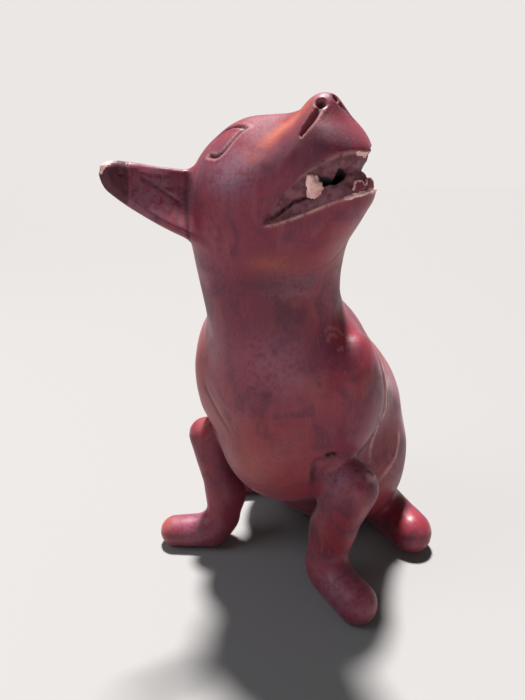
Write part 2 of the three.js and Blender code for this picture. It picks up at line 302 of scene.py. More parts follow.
# Levels of the mouth along the way round the muzzle: forwards along the side, then across the front.
LIP_OUTER = A([(22.3, -24.4), (27.2, -19.3), (32.3, -15.5), (37.2, -12.4), (43.2, -9.4),
               (45.5, -10.2), (48.2, -12.4), (53.7, -13.4), (60.3, -13.3), (66.6, -13.5),
               (75.0, -14.6), (85.0, -17.0)])
LIP_TOP = A([(24.1, -25), (29.5, -20.6), (36.0, -17.6), (41.1, -16.6), (47.3, -15.1),
             (51.7, -14.5), (59.4, -14.2), (66.3, -14.3), (74.5, -15.1), (79.4, -16.0),
             (85.6, -17.7)])
LIP_BOTTOM = A([(23.2, -26.6), (28.2, -28.1), (36.4, -29.4), (44.6, -30.3), (52.2, -31.0),
                (61.3, -32.2), (67.3, -32.7), (73.8, -33.1), (84.7, -33.4)])
TEETH_UPPER = A([(26, -24.6), (29, -23.9), (32.6, -23.1), (36.6, -22.3), (40.6, -22.9),
                 (44.6, -23.6), (50.0, -20.0), (52.5, -16.6), (54.2, -17.8), (57.3, -19.3),
                 (60.4, -21.8), (62.7, -20.4), (65.3, -18.6), (67, -18.2)])
TEETH_LOWER = A([(26, -24.8), (29, -24.3), (32.6, -23.4), (36.6, -22.6), (40.6, -23.2),
                 (44.6, -24.3), (48.1, -23.8), (51.1, -23.4), (54.1, -22.7), (56.9, -23.4),
                 (58.4, -24.9), (59.8, -25.3), (61.2, -24.3), (65.8, -24.3), (71.7, -25.0),
                 (75.3, -26.7), (85, -27)])
BROKEN_TOOTH = A([(50.6, -15.6), (51.8, -15.4), (52.8, -17.3), (52.2, -19.0), (53.4, -21.2),
                  (52.2, -23.3), (50.2, -24.7), (47.6, -25.7), (45.9, -25.1), (45.2, -23.6),
                  (47.2, -20.7), (48.4, -18.1)])
MOUTH_HOLE = A([(52.6, -17.6), (55.6, -19.3), (57.8, -20.4), (60.2, -21.6), (62.6, -20.1),
                (65.4, -18.2), (67.8, -19.6), (68.4, -22.4), (66.0, -23.9), (61.2, -24.5),
                (58.4, -24.1), (56.5, -23.3), (52.4, -23.0)])
STUBS = [
    A([(67.8, -32), (68.4, -30.0), (70.5, -28.2), (73.1, -26.6), (74.6, -27.4), (76.5, -27.1),
       (77.5, -29), (77.8, -32)]),
    A([(78.4, -32.4), (79.0, -29.4), (81.0, -27.5), (82.6, -27.0), (84.6, -27.8), (85.4, -30),
       (85.4, -32.8)]),
]


def level(table, f):
    return np.interp(f, table[:, 0], table[:, 1])


def in_outline(x, y, corners):
    """Distance to a flat outline, negative inside."""
    best = np.full(len(x), 1e9)
    inside = np.zeros(len(x), bool)
    for (ax, ay), (bx, by) in zip(corners, np.roll(corners, -1, 0)):
        ex, ey = bx - ax, by - ay
        wx, wy = x - ax, y - ay
        t = np.clip((wx * ex + wy * ey) / (ex * ex + ey * ey), 0, 1)
        best = np.minimum(best, (wx - ex * t) ** 2 + (wy - ey * t) ** 2)
        crosses = (ay > y) != (by > y)
        inside ^= crosses & (x < ex * (y - ay) / np.where(ey == 0, 1e-9, ey) + ax)
    return np.where(inside, -1, 1) * np.sqrt(best)


def way_round(r, f):
    """Forwards along the side of the muzzle, then across its front from right to left."""
    right = f + np.maximum(14 - r, 0)
    left = f + np.maximum(14 - np.abs(r), 0)
    return np.where(r > -6, right, left)


def mouth_levels(h):
    r, f, _ = h.T
    s = way_round(r, f)
    wave = 0.25 * grain(h, 2.6, 5)
    top, outer, bottom = level(LIP_TOP, s), level(LIP_OUTER, s), level(LIP_BOTTOM, s)
    upper, lower = level(TEETH_UPPER, s) + wave, level(TEETH_LOWER, s) + wave
    plain = r < -6
    outer = np.where(plain, top + 0.6, outer)
    upper = np.where(plain, -23.2 + 3.0 * step(f, 44, 54), upper)
    lower = np.where(plain, -24.0 - 1.0 * step(f, 44, 54), lower)
    return s, top, outer, bottom, upper, lower


def carve_mouth(h, d):
    r, f, u = h.T
    s, top, outer, bottom, upper, lower = mouth_levels(h)
    open_end = step(s, 22, 28)
    rough = 0.30 * grain(h, 2.0, 3) + 0.22 * grain(h, 1.0, 4)
    in_mouth = step(top - u, -0.3, 0.5) * step(u - bottom, -0.2, 0.9)
    # the slanting lip above, the step down to the teeth, and the lower plate that leans out to the lip
    slant = 1.7 * np.clip((outer - u) / np.maximum(outer - top, 0.5), 0, 1) ** 1.3 * step(u - bottom, -0.2, 0.9)
    plate = 1.5 - 1.4 * np.clip((lower - u) / np.maximum(lower - bottom, 1), 0, 1) ** 1.5
    bulge = 0.5 * np.sin(np.pi * np.clip((top - u) / np.maximum(top - upper, 1), 0, 1))
    depth = slant + in_mouth * np.where(u > lower, 1.6 - bulge, plate) + in_mouth * rough
    crease = bell(u - (upper + lower) / 2, 0.55 + 0.3 * np.clip(upper - lower, 0, 4))
    depth += 1.8 * crease * in_mouth
    depth *= open_end * (1 - 0.25 * step(s, 66, 74))
    rim = 0.55 * bell(u - bottom + 0.6, 0.8) * step(s, 21, 26)
    skin = d
    d = d + depth - rim
    hole = np.maximum(in_outline(s + 0.3 * grain(h, 1.7, 11), u, MOUTH_HOLE), -skin - 11.0)
    d = meet(d, -np.where(r > -6, hole, 9.0), 0.4)
    tooth = in_outline(f + 0.25 * grain(h, 1.5, 7), u, BROKEN_TOOTH)
    face = skin + 0.7 + 0.45 * grain(h, 2.6, 8) + 0.25 * grain(h, 1.2, 9)
    block = np.maximum(tooth, np.maximum(face, -face - 3.0))
    d = join(d, np.where(r > 5, block, 9.0), 0.3)
    for outline in STUBS:
        stub = in_outline(s + 0.35 * grain(h, 1.4, 12), u + 0.3 * grain(h, 1.3, 13), outline)
        stub = np.maximum(stub, np.abs(skin + 1.3) - 1.0)
        d = join(d, np.where(r > -8, stub, 9.0), 0.4)
    return d


def carve_head(h, d):
    """Adds the incised details of the head."""
    sides = folded(h)
    skin = d
    upper, _ = to_line(sides, EYE_UPPER)
    lower, _ = to_line(sides, EYE_LOWER)
    eye = on_skin(np.minimum(upper, lower), skin)
    d = d + 0.95 * bell(eye, 0.8) - 0.22 * bell(eye - 2.0, 0.9)
    dist, way = to_line(h, SLIT_RIGHT)
    edge = on_skin(to_line(h, SLIT_EDGE)[0], skin)
    half = 0.5 + 1.5 * np.sin(np.pi * np.clip(way, 0, 1)) ** 0.7
    d = d + 2.3 * np.clip(1 - on_skin(dist, skin) / half, 0, 1) ** 0.8 - 0.3 * bell(edge, 0.7)
    dist, _ = to_line(h, SLIT_LEFT)
    d = d + 1.1 * bell(on_skin(dist, skin), 0.9)
    dist, way = to_line(sides, MUZZLE_EDGE, 12)
    d = d - 0.55 * bell(dist, 3.0) * np.sin(np.pi * np.clip(way, 0.05, 0.95))
    for centre, radii in NOSTRILS:
        hole = ellipsoid(h, centre, radii)
        d = meet(d, -hole, 0.5) - 0.2 * bell(hole - 1.2, 0.7)
    return d


EAR_FOLDS = [
    (smooth_line([(33, 0.2, 0), (27, -1.0, 0), (19.5, -3.0, 0), (10, -6.3, 0)]), 1.1, 0.75),
    (smooth_line([(27, 0.6, 0), (21, -0.6, 0), (16, -0.2, 0)]), 1.0, 0.45),
    (smooth_line([(34, 5.0, 0), (24, 6.6, 0), (13, 8.0, 0)]), 1.8, 0.35),
    (smooth_line([(30, -11.5, 0), (21, -14.5, 0), (12, -17.5, 0)]), 2.2, 0.35),
]
EAR_CRACK = smooth_line([(42.3, 5, 0), (41.1, 0.2, 0), (38.9, -8, 0), (37.6, -15.5, 0)])
EAR_PIT = A([43.6, -1.7])
EAR_JOINT = smooth_line([(32.0, -13.5, 18.0), (32.3, -14.4, 15.4), (35.3, -16.7, 8.4),
                         (38.1, -17.8, 0.9), (41.6, -18.2, -6.9), (43.1, -19.8, -13.2)])


def carve_ear(e, d, side):
    a, w, t = e.T
    flat = e * A([1, 1, 0])
    front = step(t, -5.0, -2.0) * step(a, 5, 10)
    carved = 0.7 * bell((a - 21) / 15, 1) * bell((w + 6) / 9, 1)
    for line, wide, deep in EAR_FOLDS:
        dist, way = to_line(flat, line)
        carved += deep * bell(dist, wide) * (0.35 + 0.65 * np.sin(np.pi * np.clip(way, 0.02, 0.98)))
        carved -= 0.25 * deep * bell(dist - 1.8 * wide, wide)
    if side < 0:
        crack, _ = to_line(flat, EAR_CRACK)
        beyond = step(a - 41 + 0.21 * np.clip(-w, 0, 20), -0.2, 0.8)
        carved += 0.20 * beyond + 0.5 * bell(crack, 0.6)
        pit = np.hypot(a - EAR_PIT[0], w - EAR_PIT[1])
        carved += 1.3 * bell(pit, 1.0)
    d = d + front * carved
    if side < 0:
        d = d + chip_of(e) * (0.55 + 0.45 * grain(e, 2.4, 21) + 0.3 * grain(e, 1.2, 22))
    return d


def chip_of(e):
    """Where the tip of the right ear is broken away."""
    a, w, _ = e.T
    edge = 0.7 * grain(e, 2.6, 31) + 0.3 * grain(e, 1.3, 32)
    return step(0.787 * a + 0.617 * w + edge, 39.6, 40.4) * step(a, 44, 46)


# Body carving, in the layout. The knobs of the knees are the same on both sides; the ridges are on
# the left flank and the shoulder crease on the right.

RIBS = smooth_line([(52, 25, 168), (57, 28, 158), (60.5, 31, 145), (61, 35, 124), (57, 43, 108),
                    (52.5, 50, 101), (50, 49, 90), (49.8, 49.6, 76)])
HAUNCH = smooth_line([(62, 80, 92), (61.2, 76.5, 83), (61, 70.5, 72.5), (58.3, 62.1, 65.4),
                      (55.5, 57.4, 59.2)])
JAW_CREASE = smooth_line([(2, -31, 213.5), (13.2, -27.9, 212.5), (23, -22.4, 212),
                          (31.4, -14.3, 212.5), (38, -4, 216), (41.5, 4, 224)])
SHOULDER = smooth_line([(-44, -6, 137), (-40.4, -10.2, 130), (-32.4, -13.4, 122),
                        (-25.4, -16.2, 116.5), (-16.1, -19.4, 108.6)])
KNOB_TOP = smooth_line([(32, -7.5, 98), (36, -5.5, 100.5), (45, 3, 99.8), (50, 9.5, 97.5),
                        (56, 12.5, 93.5)])
KNOB_SIDE = smooth_line([(32.4, -6.5, 96), (31.6, -4.2, 88), (31, 1, 77)])
KNOB_PIT = A([42.0, -1.8, 103.4])
NUB = A([61.4, 12.2, 88.0])
NECK_BAND = smooth_line([(-6, -30, 206), (8.3, -27.4, 205.9), (25.6, -15.7, 205.6),
                         (34.2, 3.7, 205.9)])
STAIN = A([9.7, -22.3, 142.1])
SWIRL = A([37.6, 3.5, 172.4])


def taper_off(way):
    return np.sin(np.pi * np.clip(way, 0.04, 0.96)) ** 0.6


def carve_body(p, d):
    sides = folded(p)
    skin = d
    for line, high in ((RIBS, 1.2), (HAUNCH, 1.0)):
        dist, way = to_line(p, line, 12)
        d = d - high * bell(on_skin(dist, skin), 1.6) * taper_off(way)
    for line, deep, wide in ((JAW_CREASE, 0.8, 1.6), (SHOULDER, 0.7, 1.5)):
        dist, way = to_line(p, line, 10)
        d = d + deep * bell(on_skin(dist, skin), wide) * taper_off(way)
    for line, deep in ((KNOB_TOP, 1.5), (KNOB_SIDE, 1.3)):
        dist, way = to_line(sides, line, 12)
        d = d + deep * bell(on_skin(dist, skin), 1.6) * taper_off(way)
    d = meet(d, -ellipsoid(p, KNOB_PIT, (4.2, 3.0, 1.8)), 0.8)
    return join(d, ellipsoid(sides, NUB, (3.0, 3.0, 3.2)), 2.0)


def form(p):
    """The plain form, and the parts that the carving needs."""
    q = to_head(p)
    d = join(join(torso(p), head(q), 10), tail(p), 6)
    for side in (1, -1):
        d = join(d, ear(q, side), 6)
        d = join(d, foreleg(p, side), 9)
        d = join(d, thigh(p, side), 7)
        d = join(d, hind_paw(p, side), 8)
    return d, q


def fine(p):
    """The carved form, cut flat at the floor."""
    d, q = form(p)
    near = np.flatnonzero(np.abs(d) < CARVED_WITHIN)
    if len(near):
        d[near] = carve(p[near], q[near], d[near])
    return np.maximum(d, -p[:, 2])


def carve(p, q, d):
    d = d + 0.35 * grain(p, 26, 1) + 0.16 * grain(p, 11, 2)
    d = carve_body(p, d)
    h = np.stack([-q[:, 0], -q[:, 1], q[:, 2]], 1)
    for side in (1, -1):
        e = to_ear(q, side)
        on = np.flatnonzero((e[:, 0] > 3) & (e[:, 0] < 64) & (np.abs(e[:, 1]) < 30) & (np.abs(e[:, 2]) < 14))
        d[on] = carve_ear(e[on], d[on], side)
    on = np.flatnonzero((h[:, 1] > -6) & (h[:, 2] > -48) & (np.abs(h[:, 0]) < 45))
    d[on] = carve_head(h[on], d[on])
    joint, _ = to_line(folded(h), EAR_JOINT)
    d = d + 0.7 * bell(joint, 1.1)
    on = np.flatnonzero((h[:, 1] > 18) & (h[:, 2] > -42) & (h[:, 2] < 4))
    d[on] = carve_mouth(h[on], d[on])
    return d


# The fine surface

GRID_LOW = A([-265.0, -180.0, -370.0])
GRID_SPAN = A([530.0, 450.0, 560.0])
GRID_BLOCK = 4
POINTS_AT_ONCE = 200000
SETTLE_ROUNDS = 3
SLOPE_STEP = 0.05
FLOOR_SNAP = 0.35
CARVED_WITHIN = 12


def spread(g):
    """Moves the points of an even grid so that it is fine on the face and wide far from it."""
    dist = np.linalg.norm(g, axis=-1, keepdims=True) + 1e-9
    near = CELL_FACE / CELL_BODY
    rim = FACE_REACH / near
    reach = np.minimum(dist, rim) * near + np.maximum(dist - rim, 0)
    return FACE_CENTRE + g * (reach / dist)


def surface():
    """Vertices and faces of the carved form."""
    block = GRID_BLOCK
    counts = (np.ceil(GRID_SPAN / CELL_BODY / block)).astype(int) * block
    shape = tuple(counts)
    blocks = A(np.meshgrid(*[np.arange(n // block) for n in counts], indexing="ij")).reshape(3, -1).T
    middle = GRID_LOW + (blocks * block + (block - 1) / 2) * CELL_BODY
    place = spread(middle)
    coarse = form(place)[0]
    coarse = np.maximum(coarse, -place[:, 2])
    size = np.linalg.norm(spread(middle + CELL_BODY * (block / 2 + 1)) - place, axis=1)
    busy = np.flatnonzero(np.abs(coarse) < size * 1.5 + 3)
    values = np.repeat(np.repeat(np.repeat(
        coarse.reshape(counts // block), block, 0), block, 1), block, 2).astype(np.float32)
    inner = A(list(np.ndindex(block, block, block)))
    where = (blocks[busy][:, None, :] * block + inner).reshape(-1, 3)
    exact = np.empty(len(where))
    for i in range(0, len(where), POINTS_AT_ONCE):
        part = where[i:i + POINTS_AT_ONCE]
        exact[i:i + POINTS_AT_ONCE] = fine(spread(GRID_LOW + part * CELL_BODY))
    values[tuple(where.T)] = exact
    inside = values < 0

    total = sum(inside[a:shape[0] - 1 + a, b:shape[1] - 1 + b, c:shape[2] - 1 + c].astype(np.int8)
                for a, b, c in np.ndindex(2, 2, 2))
    cells = np.argwhere((total > 0) & (total < 8))
    index = np.full([n - 1 for n in shape], -1, np.int64)
    index[tuple(cells.T)] = np.arange(len(cells))
    mean = np.zeros((len(cells), 3))
    count = np.zeros(len(cells))
    for axis in range(3):
        for b, c in np.ndindex(2, 2):
            low = np.insert(A([b, c]), axis, 0)
            high = np.insert(A([b, c]), axis, 1)
            v0 = values[tuple((cells + low).T)]
            v1 = values[tuple((cells + high).T)]
            cut = (v0 < 0) != (v1 < 0)
            t = np.where(cut, v0 / np.where(v0 == v1, 1, v0 - v1), 0)
            mean += cut[:, None] * (low + t[:, None] * (high - low))
            count += cut
    verts = spread(GRID_LOW + (cells + mean / count[:, None]) * CELL_BODY)

    quads = []
    for axis in range(3):
        a, b = (axis + 1) % 3, (axis + 2) % 3
        first = [slice(1, n - 1) for n in shape]
        second = list(first)
        first[axis], second[axis] = slice(0, shape[axis] - 1), slice(1, shape[axis])
        in0, in1 = inside[tuple(first)], inside[tuple(second)]
        edges = np.argwhere(in0 != in1)
        out = in0[tuple(edges.T)]
        edges = edges + 1
        edges[:, axis] -= 1
        corners = []
        for da, db in ((0, 0), (-1, 0), (-1, -1), (0, -1)):
            at = edges.copy()
            at[:, a] += da
            at[:, b] += db
            corners.append(index[tuple(at.T)])
        quad = np.stack(corners, 1)
        quad[~out] = quad[~out][:, ::-1]
        quads.append(quad)
    quads = np.concatenate(quads)

    small = np.linalg.norm(spread(GRID_LOW + (cells + 1) * CELL_BODY) - verts, axis=1) * 0.5
    for _ in range(SETTLE_ROUNDS):
        f = fine(verts)
        slope = np.stack([fine(verts + SLOPE_STEP * axis) - f for axis in np.eye(3)], 1) / SLOPE_STEP
        go = -f / np.maximum((slope ** 2).sum(1), 0.4)
        move = slope * go[:, None]
        far = np.linalg.norm(move, axis=1)
        verts = verts + move * np.minimum(1, small / np.maximum(far, 1e-9))[:, None]
    verts[np.abs(verts[:, 2]) < FLOOR_SNAP, 2] = 0
    verts[:, 2] = np.maximum(verts[:, 2], 0)
    return verts, quads


def to_row(p):
    """From the layout in millimetres to the frame in metres."""
    return (p - A([0, SEAT_BACK, 0])) * UNIT * 0.001


# Masks for the finish; some of them paint shade, highlights and sheen into the colour

# The orange streak along the bridge of the nose (to its right, forward, up).
MUZZLE_GLOW = smooth_line([(8, 55, 14), (10, 48, 12), (17, 40.4, 9.5), (22, 35, 7), (25, 28, 6)])


def spot(p, centre, size):
    return bell(np.linalg.norm((p - A(centre)) / A(size), axis=1), 1)


def with_spots(value, spots):
    """Raises a mask to each soft spot: how much, of which places, its centre and its size."""
    for much, places, centre, size in spots:
        value = np.maximum(value, much * spot(places, centre, size))
    return value


def masks(p):
    q = to_head(p)
    h = np.stack([-q[:, 0], -q[:, 1], q[:, 2]], 1)
    r, f, u = h.T
    depth = -form(p)[0]
    e = to_ear(q, -1)
    ear_zone = step(e[:, 0], 10, 12) * (np.abs(e[:, 2]) < 12) * (np.abs(e[:, 1]) < 28)
    s, top, _, bottom, upper, lower = mouth_levels(h)
    mouth_zone = step(s, 22, 26) * step(top - u, -0.8, 0.0) * step(u - bottom, -0.4, 0.4)
    jag = 0.5 * grain(h, 2.2, 41) + 0.25 * grain(h, 1.1, 44)

    fresh = chip_of(e) * ear_zone
    tooth = in_outline(f + 0.25 * grain(h, 1.5, 7), u, BROKEN_TOOTH)
    fresh = np.maximum(fresh, step(-tooth, -0.5, 0.1) * (r > 8) * (depth < 4))
    lip_chip = step(s, 60.5, 62) * bell(u - bottom + 0.1 + jag, 0.9) * (r > -16)
    fresh = np.maximum(fresh, np.clip(lip_chip * 1.8, 0, 1))
    top_chip = bell(u - top + 0.4 + jag * 0.6, 0.6) * step(s, 78.5, 79.5) * (r > -4)
    fresh = np.maximum(fresh, np.clip(top_chip * 1.5, 0, 1))
    for outline in STUBS:
        rim = bell(in_outline(s, u, outline) + 0.1 + 0.6 * jag, 0.8) * step(u, -31.0, -30.0)
        fresh = np.maximum(fresh, rim * (r > -8) * step(s, 60, 64) * (depth < 2.5))

    # Painted shade: the deep inside of the mouth, the nostrils and the pit above the left knee are painted
    # near-black.
    hollow_shade = step(depth, 3.6, 5.5) * mouth_zone
    for centre, radii in NOSTRILS:
        pit = ellipsoid(h, centre, A(radii) + 0.2)
        hollow_shade = np.maximum(hollow_shade, step(-pit, -0.3, 0.4) * step(depth, 0.6, 1.6))
    hollow_shade = np.maximum(hollow_shade, step(-ellipsoid(p, KNOB_PIT, (4.4, 3.2, 2.0)), -0.4, 0.3))

    # Darkening: the darker tip of the right ear, the stain, the ear crack and the speckles are the clay's own
    # colour; the creases, grooves, pits and the spots on the muzzle's side, low on the chest and on the neck
    # are painted shade.
    stain_and_shade = 0.8 * step(e[:, 0] - 41 + 0.21 * np.clip(-e[:, 1], 0, 20), -0.2, 0.8) * ear_zone
    # Painted shade in the shoulder and jaw creases; a darker band across the neck under the jaw.
    for line, wide, much in ((SHOULDER, 1.5, 0.8), (JAW_CREASE, 1.4, 0.5), (NECK_BAND, 6.0, 0.55)):
        dist, way = to_line(p, line, 14)
        stain_and_shade = np.maximum(stain_and_shade, much * bell(on_skin(dist, depth), wide) * taper_off(way))
    # The stain is real; the other spots are painted shade on the muzzle's side, low on the chest between the
    # forelegs, and on the neck under the jaw.
    stain_and_shade = with_spots(stain_and_shade, (
        (0.6, p, STAIN, (3.5, 4, 3)),
        (0.48, h, (16, 57, -4), (13, 14, 11)),
        (0.30, p, (0, -6, 52), (44, 30, 22)),
        (0.32, p, (18, -22, 196), (26, 16, 20)),
    ))
    speckled = step(grain(h, 2.2, 71) + 0.5 * grain(h, 1.1, 72), -0.1, 0.5)
    stain_and_shade = np.maximum(stain_and_shade, 0.7 * (spot(h, (40, -2, -14), (5, 8, 10)) * speckled))
    sides = folded(p)
    # Painted shade in the creases round the knee knobs.
    for line in (KNOB_TOP, KNOB_SIDE):
        dist, way = to_line(sides, line, 12)
        stain_and_shade = np.maximum(stain_and_shade, 0.8 * bell(on_skin(dist, depth), 1.6) * taper_off(way))
    crack, _ = to_line(e * A([1, 1, 0]), EAR_CRACK)
    stain_and_shade = np.maximum(stain_and_shade, 0.9 * bell(crack, 0.8) * ear_zone)
    # Painted shade in the two deepest ear folds.
    for line, _, _ in EAR_FOLDS[:2]:
        fold, _ = to_line(e * A([1, 1, 0]), line)
        stain_and_shade = np.maximum(stain_and_shade, 0.55 * bell(fold, 0.8) * ear_zone * (e[:, 2] > -4))
    # Painted shade in the pit of the ear.
    pit = np.hypot(e[:, 0] - EAR_PIT[0], e[:, 1] - EAR_PIT[1])
    stain_and_shade = np.maximum(stain_and_shade, bell(pit, 1.1) * ear_zone)
    # Painted shade in the groove at the root of the ears.
    head_sides = folded(h)
    joint, _ = to_line(head_sides, EAR_JOINT)
    stain_and_shade = np.maximum(stain_and_shade, 0.9 * bell(on_skin(joint, depth), 1.1))
    # Painted shade in the groove round the eye.
    upper_lid, _ = to_line(head_sides, EYE_UPPER)
    lower_lid, _ = to_line(head_sides, EYE_LOWER)
    eye = on_skin(np.minimum(upper_lid, lower_lid), depth)
    stain_and_shade = np.maximum(stain_and_shade, 0.98 * bell(eye, 0.95))
    # Painted shade in the near nostril slit.
    slit, way = to_line(h, SLIT_RIGHT)
    edge = on_skin(to_line(h, SLIT_EDGE)[0], depth)
    slit = on_skin(slit, depth)
    stain_and_shade = np.maximum(stain_and_shade, 0.85 * bell(slit, 1.3) * step(edge, 0.6, 1.6) * step(way, -0.1, 0.1))
    # Painted shade in the far nostril slit.
    far_slit, _ = to_line(h, SLIT_LEFT)
    stain_and_shade = np.maximum(stain_and_shade, 0.8 * bell(on_skin(far_slit, depth), 0.9))
    # Painted shade in the crease between the teeth.
    crease = bell(u - (upper + lower) / 2, 0.6) * mouth_zone * (s < 52) * (r > -6)
    stain_and_shade = np.maximum(stain_and_shade, crease)

    # Orange patches along the bridge of the nose, under the jaw, low on the chest and on the back; the patches
    # on the right flank and the right fore toe are painted light.
    bridge, _ = to_line(h, MUZZLE_GLOW, 20)
    orange_and_lit = with_spots(0.95 * bell(bridge, 5.5), (
        (1.0, p, (-52, 14, 136), (18, 22, 36)),
        (0.55, p, (16, -27, 217), (13, 10, 5)),
        (0.4, p, (4, -24, 92), (30, 20, 22)),
        (0.8, p, (-84, -8, 12), (10, 12, 12)),
        (0.6, p, (26, 92, 150), (26, 26, 30)),
    ))

    # Painted sheen: a lilac reflection painted on the neck, the cheek, the left knee knob, the chest, the fore
    # paws and the front of the ear.
    painted_sheen = with_spots(np.zeros(len(p)), (
        (0.9, p, (24, -16, 205), (18, 14, 8)),
        (1.0, h, (32, 20, 3), (16, 16, 13)),
        (0.8, p, (48, 4, 88), (14, 16, 12)),
        (0.6, p, (14, -22, 160), (22, 14, 20)),
        (1.0, p, (58, -4, 14), (24, 16, 12)),
        (0.9, p, (-62, 2, 14), (18, 16, 12)),
        (0.9, e, (24, -8, 0), (20, 14, 8)),
    ))

    # Pale lines: painted highlights along the ridges of the left flank and haunch, on the lip rims and on the
    # edge of the nostril slit; a paler nub and a pale line under the eye; real scratch rings on the left
    # shoulder.
    highlight_and_wear = np.zeros(len(p))
    for line, much in ((RIBS, 1.0), (HAUNCH, 0.8)):
        dist, way = to_line(p, line, 10)
        highlight_and_wear = np.maximum(highlight_and_wear, much * bell(on_skin(dist, depth), 1.3) * taper_off(way))
    highlight_and_wear = np.maximum(highlight_and_wear, 0.7 * bell(u - bottom + 0.3, 0.7) * step(s, 22, 27) * (r > -6) * (depth < 3))
    highlight_and_wear = np.maximum(highlight_and_wear, 0.25 * bell(u - top - 0.2, 0.5) * step(s, 44, 50) * (r > -6) * (depth < 3))
    highlight_and_wear = np.maximum(highlight_and_wear, 0.75 * bell(edge, 0.65))
    highlight_and_wear = np.maximum(highlight_and_wear, 0.35 * bell(on_skin(lower_lid, depth) - 1.7, 0.6))
    highlight_and_wear = np.maximum(highlight_and_wear, 0.7 * spot(sides, NUB, (4.5, 4.5, 3.6)))
    ring = np.linalg.norm(p - SWIRL, axis=1)
    rings = np.maximum(bell(ring - 3.2, 0.9), bell(ring - 7.0, 0.9))
    highlight_and_wear = np.maximum(highlight_and_wear, 0.22 * rings * (grain(p, 6, 61) > 0))
    raw = mouth_zone * step(depth, 0.6, 1.6) * (1 - hollow_shade)
    return dict(fresh=fresh, stain_and_shade=stain_and_shade, orange_and_lit=orange_and_lit, highlight_and_wear=highlight_and_wear, raw=raw, painted_sheen=painted_sheen, hollow_shade=hollow_shade)


# Clay

def material(name):
    m = bpy.data.materials.new(name)
    m.use_nodes = True
    m.node_tree.nodes.clear()
    return m, m.node_tree.nodes, m.node_tree.links


